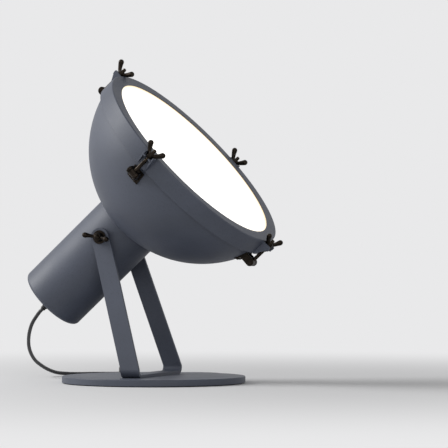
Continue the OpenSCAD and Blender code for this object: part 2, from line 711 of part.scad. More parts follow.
// ---- bezel ----
module bezel_ring() color(PAINT) on_head() rotate_extrude() {
    translate([bezel_in, bezel_rear]) square([bezel_wall, bezel_depth - bezel_wall]);
    translate([lip_r + lip_t / 2, bezel_front - lip_t]) square([lip_w - bezel_wall - lip_t / 2, lip_t]);
    translate([lip_r + lip_t / 2, bezel_front - lip_t / 2]) circle(lip_t / 2);
    intersection() {
        translate([bezel_r - bezel_wall, bezel_front - bezel_wall]) circle(bezel_wall);
        translate([bezel_in, bezel_front - bezel_wall - 0.01]) square([2 * bezel_wall, 2 * bezel_wall]);
    }
}

// Ears on the band: two side plates, a floor, and a slotted seat. The seat's outer half is rolled off about
// the hinge pin, so that the bolt swings out past it once the nut is loose.
module bezel_ears() color(PAINT) for (c = CLOSURES) at_closure(c[1]) difference() {
    union() {
        for (side = [-1, 1]) translate([0, side * (ear_gap + ear_t) / 2, 0]) rotate([90, 0, 0])
            linear_extrude(ear_t, center = true) ear_side();
        translate([bezel_r - ear_root, -ear_gap / 2 - 0.5, ear_rear])
            cube([2 * ear_root, ear_gap + 1, bezel_depth - 3 - seat_behind]);
        translate([bezel_r - ear_root, -ear_gap / 2 - 0.5, seat_z - ear_seat_t])
            cube([bolt_out + ear_root, ear_gap + 1, ear_seat_t]);
        intersection() {
            translate([bolt_c, -ear_gap / 2 - 0.5, seat_z - ear_seat_t])
                cube([ear_h - bolt_out, ear_gap + 1, ear_seat_t]);
            translate([bolt_c, 0, pin_z]) across(seat_l, 2 * ear_gap, $fn = fine);
        }
    }
    translate([0, 0, bezel_rear - past]) cylinder(r = bezel_r, h = bezel_depth + 2 * past, $fn = fine);
    translate([bolt_c, 0, seat_z - ear_seat_t - past]) cylinder(r = ear_slot, h = ear_seat_t + 2 * past);
    translate([bolt_c, -ear_slot, seat_z - ear_seat_t - past])
        cube([2 * ear_h, 2 * ear_slot, ear_seat_t + 2 * past]);
}
module ear_side() polygon([[bezel_r - ear_root, ear_rear], [bezel_r + 1.5, ear_rear],
    [bezel_r + ear_h, bezel_front - 6], [bezel_r + ear_h, bezel_front - 2.5],
    [bezel_r + ear_h - 1.5, bezel_front - 1], [bezel_r - ear_root, bezel_front - 2.5]]);

module glass_disc() color(OPAL) on_head() translate([0, 0, glass_rear]) cylinder(r = glass_r, h = glass_t);
module front_gasket() color(RUBBER) on_head() translate([0, 0, glass_front])
    ring(glass_r - gasket_inset, lip_r + gasket_inset, gasket_t);
module rear_seal() color(RUBBER) on_head() translate([0, 0, rim_z])
    ring(seal_r, seal_r - seal_w, glass_rear - rim_z);

// Spring clips welded inside the band hold the glass against its gasket
module glass_clips() color(BRIGHT) on_head() for (i = [0:5]) rotate([0, 0, 60 * i + 30]) intersection() {
    union() {
        translate([seal_r + 1, -clip_w / 2, glass_rear - clip_t]) cube([lip_w, clip_w, clip_t]);
        translate([bezel_in - clip_foot_t, -clip_w / 2, rim_z + 2])
            cube([lip_w, clip_w, glass_rear - rim_z - 2]);
    }
    cylinder(r = bezel_in, h = 2 * bowl_ahead, $fn = fine);
}

// ---- cord, switch and plug ----
module cord_hanging() color(RUBBER) tube(smooth(hanging_route, 2), cord_r, 8, [0, 1, 0]);
module cord_middle() color(RUBBER) tube(smooth(middle_route, 1), cord_r, 8, [0, 0, 1]);
module cord_coil() color(RUBBER) tube(coil_route, cord_r, 6, [0, 0, 1]);
module cord_tail() color(RUBBER) tube(smooth(tail_route, 1), cord_r, 8, [0, 0, 1]);

// In-line switch: a lower and an upper shell round the cord, a rocker, and two screws from below
module switch_screw_places() for (side = [-1, 1]) translate([0, side * (switch_l / 2 - 8), 0]) children();
// What either shell holds inside its walls
module switch_room(h)
    rounded_slab([switch_w - 2 * switch_wall, switch_l - 2 * switch_wall, h], switch_corner - switch_wall);

module switch_base() color(RUBBER) stow([switch_at.x, switch_at.y, switch_gap]) difference() {
    rounded_slab([switch_w, switch_l, split_z - switch_gap], switch_corner);
    difference() {
        translate([0, 0, switch_wall]) switch_room(split_z);
        switch_screw_places() cylinder(r = switch_post_r, h = split_z);
    }
    switch_screw_places() translate([0, 0, -past]) {
        cylinder(r = switch_screw_r + sliding, h = split_z + 2 * past);
        cylinder(r = 2 * switch_screw_r - sliding, h = past + switch_wall);
    }
}

module switch_cover() color(RUBBER) stow([switch_at.x, switch_at.y, split_z]) difference() {
    cover_h = switch_h - split_z + switch_gap;
    union() {
        difference() {
            rounded_slab([switch_w, switch_l, cover_h], switch_corner);
            translate([0, 0, -past]) switch_room(cover_h - switch_wall + past);
            translate([-rocker_w / 2 - loose, -rocker_l / 2 - 1.5, 0])
                cube([rocker_w + 2 * loose, rocker_l + 3, switch_h]);
        }
        switch_screw_places() cylinder(r = switch_post_r, h = cover_h - switch_wall + 0.2);
        // Cheeks that hold the rocker's pin
        for (side = [-1, 1]) translate([side * (rocker_w / 2 + 1.3) - 1, -2 * rocker_pin_r, 0])
            cube([2, 4 * rocker_pin_r, cover_h - 1.3]);
    }
    switch_screw_places() translate([0, 0, -past]) cylinder(r = switch_screw_r + fixed, h = past + 5);
    translate([0, 0, rocker_axis - split_z]) rotate([0, 90, 0])
        cylinder(r = rocker_pin_r + turning, h = rocker_w + 6, center = true);
}

// The rocker stands in its on position, pressed down at the far end
module switch_rocker() color(RUBBER) stow([switch_at.x, switch_at.y, rocker_axis])
    rotate([-rocker_rest, 0, 0]) {
        rocker_h = switch_h - rocker_axis;
        rotate([90, 0, 90]) linear_extrude(rocker_w, center = true)
            polygon([[-rocker_l / 2 + 0.7, -1.8], [rocker_l / 2 - 0.7, -1.8], [rocker_l / 2, rocker_h + 2],
                [0, rocker_h + 0.9], [-rocker_l / 2, rocker_h + 2]]);
        rotate([0, 90, 0]) cylinder(r = rocker_pin_r, h = rocker_w + 4.4, center = true);
    }

module switch_screws() color(BRIGHT) stow([switch_at.x, switch_at.y, switch_gap]) switch_screw_places() {
    translate([0, 0, 0.4]) cylinder(r = 2 * switch_screw_r - 0.3, h = switch_wall - 0.4);
    translate([0, 0, 1]) cylinder(r = switch_screw_r, h = split_z + 3);
}

// Flat two-pin plug with a tapered neck
module at_plug_pins() for (side = [-1, 1]) translate([side * pin_pitch, plug_neck_l + plug_l - plug_pin_in, 0])
    rotate([-90, 0, 0]) children();

module plug_body() color(RUBBER) stow([plug_at.x, plug_at.y, plug_z]) difference() {
    union() {
        rotate([-90, 0, 0]) cylinder(r1 = cord_r + 1, r2 = cord_r + 2.6, h = plug_neck_l + 2);
        translate([0, plug_neck_l + plug_l / 2, -plug_h / 2]) rounded_slab([plug_w, plug_l, plug_h], 6);
    }
    at_plug_pins() cylinder(r = plug_pin_r + fixed, h = plug_pin_in + 2 * past);
}

module plug_pins() color(BRIGHT) stow([plug_at.x, plug_at.y, plug_z]) at_plug_pins() {
    cylinder(r = plug_pin_r, h = plug_pin_l);
    translate([0, 0, plug_pin_l]) cylinder(r1 = plug_pin_r, r2 = 0.6 * plug_pin_r, h = 1.2);
}

base_plate();
base_pad();
bracket();
base_screws();
fibre_washers();
can_bosses();
tilt_studs();
tilt_washer(-1);  // tilt_washer_near
tilt_washer(1);  // tilt_washer_far
tilt_nut(-1);  // tilt_nut_near
tilt_nut(1);  // tilt_nut_far
can_shell();
rear_cap();
cap_screws();
cap_nuts();
cord_gland();
gland_locknut();
cord_boot();
inner_lead();
bowl_shell();
lamp_holder();
holder_ring();
holder_bridge();
bridge_screws();
bulb_cap();
bulb_glass();
forks();
fork_rivets();
fork_pins();
swing_bolt(0);  // swing_bolt_top
swing_bolt(1);  // swing_bolt_near
swing_bolt(2);  // swing_bolt_far
swing_bolt(3);  // swing_bolt_bottom
bolt_washer(0);  // bolt_washer_top
bolt_washer(1);  // bolt_washer_near
bolt_washer(2);  // bolt_washer_far
bolt_washer(3);  // bolt_washer_bottom
closure_nut(0);  // wing_nut_top
closure_nut(1);  // wing_nut_near
closure_nut(2);  // wing_nut_far
closure_nut(3);  // wing_nut_bottom
bezel_ring();
bezel_ears();
glass_disc();
front_gasket();
rear_seal();
glass_clips();
cord_hanging();
cord_middle();
cord_coil();
cord_tail();
switch_base();
switch_cover();
switch_rocker();
switch_screws();
plug_body();
plug_pins();
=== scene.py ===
"""A tabletop searchlight lamp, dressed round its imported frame.

A spun bowl with a swing-bolt bezel and a can behind it tips between the arms of a leaning U bracket, which
stands on a round plate. Scene units are metres, the sizes below are millimetres. +x is the way the lamp
faces, +z is up and -y is the near side.
"""
import json
from math import asin, atan2, cos, degrees, hypot, pi, radians, sin, sqrt

import bmesh
import bpy
from mathutils import Matrix, Vector


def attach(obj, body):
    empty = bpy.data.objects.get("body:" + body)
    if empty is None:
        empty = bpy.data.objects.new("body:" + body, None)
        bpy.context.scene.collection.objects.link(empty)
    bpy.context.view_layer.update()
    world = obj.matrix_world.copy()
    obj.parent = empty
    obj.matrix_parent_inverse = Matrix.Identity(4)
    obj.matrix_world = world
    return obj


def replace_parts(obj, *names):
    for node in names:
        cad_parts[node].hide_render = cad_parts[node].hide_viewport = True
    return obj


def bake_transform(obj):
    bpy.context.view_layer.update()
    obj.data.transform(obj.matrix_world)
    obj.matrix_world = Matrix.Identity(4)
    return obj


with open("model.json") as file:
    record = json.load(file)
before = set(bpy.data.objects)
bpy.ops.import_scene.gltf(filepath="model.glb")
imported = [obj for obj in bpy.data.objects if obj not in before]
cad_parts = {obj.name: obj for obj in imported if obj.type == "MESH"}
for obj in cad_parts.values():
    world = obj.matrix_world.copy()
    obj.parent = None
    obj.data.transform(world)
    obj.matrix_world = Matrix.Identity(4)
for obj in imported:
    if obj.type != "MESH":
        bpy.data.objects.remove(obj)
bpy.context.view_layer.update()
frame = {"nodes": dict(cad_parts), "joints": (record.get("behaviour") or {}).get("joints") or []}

MM = 0.001
nodes = frame["nodes"]
joints = {joint["name"]: joint for joint in frame["joints"]}
CLOSURES = ("top", "near", "far", "bottom")


# ---- places, taken from the frame ----
def place_at(origin, z_axis, x_axis):
    """The matrix that puts what is drawn along z, with its side towards x, where it belongs."""
    z = Vector(z_axis).normalized()
    x = Vector(x_axis)
    x = (x - x.dot(z) * z).normalized()
    place = Matrix((x, z.cross(x), z)).transposed().to_4x4()
    place.translation = Vector(origin)
    return place


def along(x=0.0, y=0.0, z=0.0):
    return Matrix.Translation(Vector((x, y, z)) * MM)


def turned(angle, axis="Z"):
    return Matrix.Rotation(angle, 4, axis)


pivot = Vector(joints["head_tilt"]["pos_m"])
lamp_axis = Vector(joints["bolt_washer_top_slide"]["axis"]).normalized()
HEAD = place_at(pivot, lamp_axis, Vector((0, 1, 0)).cross(lamp_axis))


def reach(node, place):
    """How far a node goes round the z axis of a place: least and largest radius, lowest and highest z, in mm."""
    there = place.inverted()
    points = [there @ vertex.co / MM for vertex in nodes[node].data.vertices]
    radii = [hypot(point.x, point.y) for point in points]
    heights = [point.z for point in points]
    return min(radii), max(radii), min(heights), max(heights)


def closure_place(name):
    """The hinge pin of a closure: z along the lamp axis, x away from it."""
    pin = HEAD.inverted() @ Vector(joints[f"swing_bolt_{name}_swing"]["pos_m"])
    return HEAD @ turned(atan2(pin.y, pin.x)) @ Matrix.Translation((hypot(pin.x, pin.y), 0, pin.z))


def tilt_place(side):
    """The tilt axis, z outwards on the near or the far side, x level and backwards."""
    out = Vector(joints[f"tilt_washer_{side}_slide"]["axis"])
    return place_at(pivot, out, (-1, 0, 0))


def wing_turn(node, place):
    """The angle of a wing nut's wings about the z axis of a place."""
    there = place.inverted()
    tip = max((there @ vertex.co for vertex in nodes[node].data.vertices), key=lambda p: hypot(p.x, p.y))
    return atan2(tip.y, tip.x)


# ---- camera, at the photograph's angle ----
CAMERA_AWAY = 4586.8
CAMERA_SIDE = radians(21.6)
CAMERA_UP = 221.6
CAMERA_RISE = radians(0.447)
CAMERA_TURN = radians(20.178)
CAMERA_LENS = 227.48

camera_data = bpy.data.cameras.new("camera")
camera_data.sensor_width = 36
camera_data.lens = CAMERA_LENS
camera_data.clip_end = 100
camera = bpy.data.objects.new("camera", camera_data)
bpy.context.scene.collection.objects.link(camera)
camera.location = Vector((CAMERA_AWAY * sin(CAMERA_SIDE), -CAMERA_AWAY * cos(CAMERA_SIDE), CAMERA_UP)) * MM
camera.rotation_euler = (pi / 2 + CAMERA_RISE, 0, CAMERA_TURN)
bpy.context.scene.camera = camera
bpy.context.scene.view_settings.view_transform = "Standard"


# ---- materials ----
def add(tree, kind, inputs=None, **settings):
    """Adds a node. Its inputs are values, or sockets that are linked; its settings are its properties."""
    node = tree.nodes.new(kind)
    for name, value in settings.items():
        setattr(node, name, value)
    for name, value in (inputs or {}).items():
        if isinstance(value, bpy.types.NodeSocket):
            tree.links.new(value, node.inputs[name])
        else:
            node.inputs[name].default_value = value
    return node


def linear(colour):
    """An sRGB hex colour as linear RGBA."""
    parts = [int(colour[i:i + 2], 16) / 255 for i in (1, 3, 5)]
    return (*[p / 12.92 if p <= 0.04045 else ((p + 0.055) / 1.055) ** 2.4 for p in parts], 1)


def per(size):
    """A noise scale whose features measure that many millimetres."""
    return 1 / (size * MM)


def new_finish(name, **values):
    """A material with a Principled shader, with the values that are the same all over set on its sockets."""
    material = bpy.data.materials.new(name)
    material.use_nodes = True
    tree = material.node_tree
    tree.nodes.clear()
    shader = add(tree, "ShaderNodeBsdfPrincipled", {key.replace("_", " "): value for key, value in values.items()})
    add(tree, "ShaderNodeOutputMaterial", {"Surface": shader.outputs["BSDF"]})
    place = add(tree, "ShaderNodeTexCoord").outputs["Object"]
    return material, tree, shader, place


# Places of the Mix node's colour sockets
COLOUR_A, COLOUR_B, COLOUR_OUT = 6, 7, 2


def between(tree, factor, low, high, from_low=0.0, from_high=1.0):
    """Maps a pattern's range to a range of values, or of colours given in hex or by sockets."""
    span = {"Value": factor, "From Min": from_low, "From Max": from_high}
    if isinstance(low, float):
        return add(tree, "ShaderNodeMapRange", {**span, "To Min": low, "To Max": high}).outputs["Result"]
    share = add(tree, "ShaderNodeMapRange", span).outputs["Result"]
    first, second = (linear(colour) if isinstance(colour, str) else colour for colour in (low, high))
    mix = add(tree, "ShaderNodeMix", {"Factor": share, COLOUR_A: first, COLOUR_B: second}, data_type="RGBA")
    return mix.outputs[COLOUR_OUT]


def powder_coat():
    """Slate powder coat, baked on spun and pressed steel: an even matt colour with a fine orange peel, and
    the faint rings of the spinning roller showing through it."""
    material, tree, shader, place = new_finish("slate_powder_coat_on_steel", IOR=1.5)
    mottle = add(tree, "ShaderNodeTexNoise", {"Vector": place, "Scale": per(70), "Detail": 3.0}).outputs["Fac"]
    speck = add(tree, "ShaderNodeTexNoise", {"Vector": place, "Scale": per(2.6), "Detail": 2.0}).outputs["Fac"]
    body = between(tree, mottle, "#3f4450", "#474c59", 0.3, 0.7)
    tree.links.new(between(tree, speck, body, "#363a45", 0.55, 0.95), shader.inputs["Base Color"])
    tree.links.new(between(tree, mottle, 0.50, 0.60, 0.3, 0.7), shader.inputs["Roughness"])
    # The real orange peel is about 1 mm wide; it is drawn at 2.2 mm so that it shows
    peel = add(tree, "ShaderNodeTexNoise", {"Vector": place, "Scale": per(2.2), "Detail": 1.0})
    height = add(tree, "ShaderNodeVectorMath", {0: place, 1: tuple(lamp_axis)}, operation="DOT_PRODUCT")
    # Roller marks 4 mm apart along the lamp axis
    roller = add(tree, "ShaderNodeMath", {0: height.outputs["Value"], 1: 2 * pi / (4 * MM)}, operation="MULTIPLY")
    rings = add(tree, "ShaderNodeMath", {0: roller.outputs[0]}, operation="SINE")
    relief = add(tree, "ShaderNodeMath", {0: rings.outputs[0], 1: 0.05, 2: peel.outputs["Fac"]},
                 operation="MULTIPLY_ADD")
    bump = add(tree, "ShaderNodeBump", {"Height": relief.outputs[0], "Strength": 0.35, "Distance": 0.12 * MM})
    tree.links.new(bump.outputs["Normal"], shader.inputs["Normal"])
    return material


def black_oxide():
    """Black-oxide steel: a dark bronze metal, burnished where hands and tools rub its edges."""
    material, tree, shader, place = new_finish("burnished_black_oxide_steel", Metallic=1.0)
    stain = add(tree, "ShaderNodeTexNoise", {"Vector": place, "Scale": per(9), "Detail": 4.0}).outputs["Fac"]
    edge = add(tree, "ShaderNodeNewGeometry").outputs["Pointiness"]
    colour = between(tree, stain, "#1c1916", "#2f2924", 0.3, 0.72)
    tree.links.new(between(tree, edge, colour, "#5a5044", 0.56, 0.72), shader.inputs["Base Color"])
    tree.links.new(between(tree, stain, 0.30, 0.46, 0.3, 0.7), shader.inputs["Roughness"])
    grain = add(tree, "ShaderNodeTexNoise", {"Vector": place, "Scale": per(0.9), "Detail": 2.0})
    bump = add(tree, "ShaderNodeBump", {"Height": grain.outputs["Fac"], "Strength": 0.25, "Distance": 0.08 * MM})
    tree.links.new(bump.outputs["Normal"], shader.inputs["Normal"])
    return material


def zinc_plate():
    """Bright zinc plate on small steel parts: a pale metal with a faint cloudy passivation."""
    material, tree, shader, place = new_finish("bright_zinc_plate", Metallic=1.0)
    cloud = add(tree, "ShaderNodeTexNoise", {"Vector": place, "Scale": per(6), "Detail": 3.0})
    tree.links.new(between(tree, cloud.outputs["Fac"], "#b2b2ac", "#c9cbce", 0.3, 0.7), shader.inputs["Base Color"])
    tree.links.new(between(tree, cloud.outputs["Fac"], 0.26, 0.40, 0.3, 0.7), shader.inputs["Roughness"])
    return material


def lit_opal():
    """Opal glass lit from behind: a satin white disc, a little warmer where the light has further to come."""
    material, tree, shader, place = new_finish("lit_opal_glass", Roughness=0.22, IOR=1.5)
    shader.inputs["Emission Strength"].default_value = 1.0
    centre = add(tree, "ShaderNodeVectorMath", {0: place, 1: tuple(glass_middle)}, operation="DISTANCE")
    glow = between(tree, centre.outputs["Value"], "#fffdf8", "#ffd996", 0.1525, 0.166)
    mottle = add(tree, "ShaderNodeTexNoise", {"Vector": place, "Scale": per(40), "Detail": 2.0})
    milk = between(tree, mottle.outputs["Fac"], "#f4efe6", "#fbf7f0", 0.3, 0.7)
    tree.links.new(milk, shader.inputs["Base Color"])
    tree.links.new(glow, shader.inputs["Emission Color"])
    return material


def moulded(name, low, high, rough, grain_size, depth):
    """Rubber, plastic and fibre: a mottled colour and the fine grain of the mould."""
    material, tree, shader, place = new_finish(name, IOR=1.5)
    mottle = add(tree, "ShaderNodeTexNoise", {"Vector": place, "Scale": per(14), "Detail": 3.0})
    tree.links.new(between(tree, mottle.outputs["Fac"], low, high, 0.3, 0.7), shader.inputs["Base Color"])
    tree.links.new(between(tree, mottle.outputs["Fac"], rough - 0.06, rough + 0.06, 0.3, 0.7),
                   shader.inputs["Roughness"])
    grain = add(tree, "ShaderNodeTexNoise", {"Vector": place, "Scale": per(grain_size), "Detail": 2.0})
    bump = add(tree, "ShaderNodeBump", {"Height": grain.outputs["Fac"], "Strength": 0.4, "Distance": depth * MM})
    tree.links.new(bump.outputs["Normal"], shader.inputs["Normal"])
    return material


def frosted_glass():
    """The lamp's own bulb: thin glass, frosted inside."""
    material, tree, shader, place = new_finish("frosted_bulb_glass", IOR=1.45, Transmission_Weight=0.6)
    frost = add(tree, "ShaderNodeTexNoise", {"Vector": place, "Scale": per(1.2), "Detail": 2.0})
    tree.links.new(between(tree, frost.outputs["Fac"], 0.35, 0.5, 0.3, 0.7), shader.inputs["Roughness"])
    tree.links.new(between(tree, frost.outputs["Fac"], "#f3f0ea", "#fffdf8", 0.3, 0.7), shader.inputs["Base Color"])
    return material


GLASS = reach("glass_disc", HEAD)
glass_middle = HEAD @ Vector((0, 0, GLASS[3] * MM))
FINISHES = {
    "slate_paint": powder_coat(),
    "black_steel": black_oxide(),
    "bright_steel": zinc_plate(),
    "opal_glass": lit_opal(),
    "bulb_glass": frosted_glass(),
    # Natural rubber sheet, dull and slightly dusty
    "pad_rubber": moulded("rubber_sheet", "#232326", "#2c2c2f", 0.78, 1.4, 0.10),
    # Extruded sponge rubber
    "seal_rubber": moulded("sponge_rubber", "#262626", "#303030", 0.85, 0.8, 0.15),
    # Moulded rubber, a little glossier where it came off the steel mould
    "boot_rubber": moulded("moulded_rubber", "#1d1d1f", "#27272a", 0.6, 1.1, 0.05),
    # Extruded PVC, satin along its length
    "cord_sheath": moulded("pvc_sheath", "#202023", "#29292c", 0.45, 1.6, 0.05),
    # Vulcanised fibre, brown and waxy
    "fibre": moulded("vulcanised_fibre", "#4a3324", "#5c402d", 0.6, 0.7, 0.08),
    # Glazed ceramic lamp holder
    "holder_plastic": moulded("glazed_ceramic", "#d9d5cb", "#e4e0d7", 0.22, 3.0, 0.02),
    # Injection moulded ABS with a fine spark-eroded grain
    "switch_plastic": moulded("grained_abs", "#1d1d1f", "#242427", 0.5, 0.8, 0.06),
    "plug_plastic": moulded("moulded_pvc", "#1e1e20", "#262629", 0.5, 0.9, 0.06),
}
for node in nodes.values():
    for material_slot in node.material_slots:
        material_slot.material = FINISHES[material_slot.material.name.split(".")[0]]


# ---- pieces and meshes ----
def piece(name, mesh, body, slot, replaced, rides=True):
    """A finished mesh as a piece of the lamp: on its body, in its material, in place of its CAD nodes."""
    mesh.name = name
    mesh.materials.clear()
    mesh.materials.append(FINISHES[slot])
    made = bpy.data.objects.new(name, mesh)
    bpy.context.scene.collection.objects.link(made)
    if rides:
        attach(made, body)
    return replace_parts(made, *replaced)


def evaluated(mesh, modifiers):
    """A mesh with modifiers applied: each is a type and its settings."""
    carrier = bpy.data.objects.new("carrier", mesh)
    bpy.context.scene.collection.objects.link(carrier)
    for kind, settings in modifiers:
        modifier = carrier.modifiers.new(kind, kind)
        for key, value in settings.items():
            setattr(modifier, key, value)
    graph = bpy.context.evaluated_depsgraph_get()
    result = bpy.data.meshes.new_from_object(carrier.evaluated_get(graph), depsgraph=graph,
                                             preserve_all_data_layers=True)
    bpy.data.objects.remove(carrier)
    return result


def joined(meshes, outward=True):
    """Several closed meshes as one, with their faces outwards and shaded smooth."""
    work = bmesh.new()
    for mesh in meshes:
        work.from_mesh(mesh)
    if outward:
        bmesh.ops.recalc_face_normals(work, faces=work.faces)
    for face in work.faces:
        face.smooth = True
        face.material_index = 0
    whole = bpy.data.meshes.new("whole")
    work.to_mesh(whole)
    work.free()
    return whole


def crisp(mesh, angle=38):
    """Smooth shading that keeps flat faces flat and breaks at sharp corners."""
    mesh.set_sharp_from_angle(angle=radians(angle))
    return evaluated(mesh, [("WEIGHTED_NORMAL", {"keep_sharp": True, "weight": 60})])


def worn(node, edge, angle=30):
    """A CAD node's own shape with its corners rounded: merged, its flat faces made whole, then bevelled."""
    work = bmesh.new()
    work.from_mesh(nodes[node].data)
    bmesh.ops.remove_doubles(work, verts=work.verts, dist=0.001 * MM)
    bmesh.ops.dissolve_limit(work, angle_limit=radians(0.8), verts=work.verts, edges=work.edges)
    mesh = bpy.data.meshes.new(node + "_merged")
    work.to_mesh(mesh)
    work.free()
    bevel = ("BEVEL", {"width": edge * MM, "segments": 2, "limit_method": "ANGLE", "angle_limit": radians(angle),
                       "use_clamp_overlap": True, "miter_outer": "MITER_ARC"})
    return crisp(joined([evaluated(mesh, [bevel])], outward=False))


# ---- Geometry Nodes trees ----
def open_tree(name, sizes):
    """A tree with a start geometry, named sizes and a finish; returns it with its inputs."""
    tree = bpy.data.node_groups.new(name, "GeometryNodeTree")
    sockets = {"Start": "NodeSocketGeometry", **sizes, "Finish": "NodeSocketMaterial"}
    for label, kind in sockets.items():
        tree.interface.new_socket(label, in_out="INPUT", socket_type=kind)
    tree.interface.new_socket("Shape", in_out="OUTPUT", socket_type="NodeSocketGeometry")
    return tree, add(tree, "NodeGroupInput").outputs


def close_tree(tree, inputs, shape):
    """Ends a tree: smooth shading, real geometry and the finish."""
    smooth = add(tree, "GeometryNodeSetShadeSmooth", {"Geometry": shape})
    real = add(tree, "GeometryNodeRealizeInstances", {"Geometry": smooth.outputs[0]})
    painted = add(tree, "GeometryNodeSetMaterial", {"Geometry": real.outputs[0], "Material": inputs["Finish"]})
    add(tree, "NodeGroupOutput", {"Shape": painted.outputs[0]})
    return tree


def grown(tree, start, sizes, slot):
    """Runs a tree on a start mesh and returns the plain mesh that it makes."""
    carrier = bpy.data.objects.new("carrier", start)
    bpy.context.scene.collection.objects.link(carrier)
    modifier = carrier.modifiers.new("grow", "NODES")
    modifier.node_group = tree
    values = {**sizes, "Finish": FINISHES[slot]}
    for socket in tree.interface.items_tree:
        if socket.in_out == "INPUT" and socket.name in values:
            modifier[socket.identifier] = values[socket.name]
    graph = bpy.context.evaluated_depsgraph_get()
    result = bpy.data.meshes.new_from_object(carrier.evaluated_get(graph))
    bpy.data.objects.remove(carrier)
    return result


def spinning_tree():
    """Rounds the corners of an outline and turns it once round the z axis, as a lathe or a spinner does."""
    tree, inputs = open_tree("turn_an_outline", {"Spin radius": "NodeSocketFloat", "Sides": "NodeSocketInt",
                                                 "Corner steps": "NodeSocketInt"})
    line = add(tree, "GeometryNodeMeshToCurve", {"Mesh": inputs["Start"]})
    corner = add(tree, "GeometryNodeInputNamedAttribute", {"Name": "corner"}, data_type="FLOAT")
    rounded = add(tree, "GeometryNodeFilletCurve", {"Curve": line.outputs[0], "Count": inputs["Corner steps"],
                  "Radius": corner.outputs["Attribute"], "Limit Radius": True}, mode="POLY")
    circle = add(tree, "GeometryNodeCurvePrimitiveCircle", {"Resolution": inputs["Sides"],
                 "Radius": inputs["Spin radius"]}, mode="RADIUS")
    sweep = add(tree, "GeometryNodeCurveToMesh", {"Curve": circle.outputs["Curve"],
                "Profile Curve": rounded.outputs[0]})
    merged = add(tree, "GeometryNodeMergeByDistance", {"Geometry": sweep.outputs[0], "Distance": 0.002 * MM})
    return close_tree(tree, inputs, merged.outputs[0])


def thread_tree():
    """Winds a right-handed ridge round a rod, on the z axis from a start to an end."""
    tree, inputs = open_tree("wind_a_thread", {"Root": "NodeSocketFloat", "Crest": "NodeSocketFloat",
                             "Turns": "NodeSocketFloat", "Length": "NodeSocketFloat", "Low": "NodeSocketVector"})
    spiral = add(tree, "GeometryNodeCurveSpiral", {"Resolution": 20, "Rotations": inputs["Turns"],
                 "Start Radius": inputs["Root"], "End Radius": inputs["Root"], "Height": inputs["Length"],
                 "Reverse": True})
    depth = add(tree, "ShaderNodeMath", {0: inputs["Crest"], 1: inputs["Root"]}, operation="SUBTRACT")
    ridge = add(tree, "GeometryNodeCurvePrimitiveCircle", {"Resolution": 4, "Radius": depth.outputs[0]},
                mode="RADIUS")
    wound = add(tree, "GeometryNodeCurveToMesh", {"Curve": spiral.outputs[0], "Profile Curve": ridge.outputs[0],
                "Fill Caps": True})
    raised = add(tree, "GeometryNodeTransform", {"Geometry": wound.outputs[0], "Translation": inputs["Low"]})
    return close_tree(tree, inputs, raised.outputs[0])


def setting_tree():
    """Sets a fixing at each point of a mesh, standing along the point's own direction."""
    tree, inputs = open_tree("set_fixings_out", {"Fixing": "NodeSocketObject"})
    stand = add(tree, "GeometryNodeInputNamedAttribute", {"Name": "stand"}, data_type="FLOAT_VECTOR")
    facing = add(tree, "FunctionNodeAlignRotationToVector", {"Vector": stand.outputs["Attribute"]}, axis="Z")
    fixing = add(tree, "GeometryNodeObjectInfo", {"Object": inputs["Fixing"]}, transform_space="ORIGINAL")
    spread = add(tree, "GeometryNodeInstanceOnPoints", {"Points": inputs["Start"],
                 "Instance": fixing.outputs["Geometry"], "Rotation": facing.outputs["Rotation"]})
    return close_tree(tree, inputs, spread.outputs[0])


SPIN = spinning_tree()
THREAD = thread_tree()
SET_OUT = setting_tree()


def spun(outline, place, slot, sides=96, corner_steps=4):
    """A turned shape: its outline of (radius, height, corner radius) in mm, turned round the z axis of a place.
    An outline that starts and ends on the axis makes a solid shape, and any other a ring."""
    area = sum(a[0] * b[1] - b[0] * a[1] for a, b in zip(outline, outline[1:] + outline[:1]))
    points = outline if area < 0 else outline[::-1]
    middle = max(point[0] for point in points) / 2
    closed = points[0][0] > 0 or points[-1][0] > 0
    ends = [(i, i + 1) for i in range(len(points) - 1)] + ([(len(points) - 1, 0)] if closed else [])
    start = bpy.data.meshes.new("outline")
    start.from_pydata([((p[0] - middle) * MM, -p[1] * MM, 0) for p in points], ends, [])
    corner = start.attributes.new("corner", "FLOAT", "POINT")
    corner.data.foreach_set("value", [p[2] * MM for p in points])
    mesh = grown(SPIN, start, {"Spin radius": middle * MM, "Sides": sides, "Corner steps": corner_steps}, slot)
    mesh.transform(place)
    return mesh


def arc(height, radius, start, end, steps):
    """Outline points on a circle about a point of the axis, from one angle to another, in degrees from the
    axis's lower end."""
    angles = [radians(start + (end - start) * i / steps) for i in range(steps + 1)]
    return [(radius * sin(a), height - radius * cos(a), 0) for a in angles]


def thread(place, root, crest, pitch, low, high, slot):
    """A thread's ridge on a rod along z."""
    mesh = grown(THREAD, bpy.data.meshes.new("start"), {"Root": root * MM, "Crest": crest * MM,
                 "Turns": (high - low) / pitch, "Length": (high - low) * MM, "Low": (0, 0, low * MM)}, slot)
    mesh.transform(place)
    return mesh


def set_out(fixing, stands, slot):
    """Copies of a fixing's mesh: one at each (point, direction)."""
    points = bpy.data.meshes.new("points")
    points.from_pydata([point for point, stand in stands], [], [])
    stand_of = points.attributes.new("stand", "FLOAT_VECTOR", "POINT")
    stand_of.data.foreach_set("vector", [part for point, stand in stands for part in stand])
    sample = bpy.data.objects.new("fixing", fixing)
    bpy.context.scene.collection.objects.link(sample)
    mesh = grown(SET_OUT, points, {"Fixing": sample}, slot)
    bpy.data.objects.remove(sample)
    return mesh


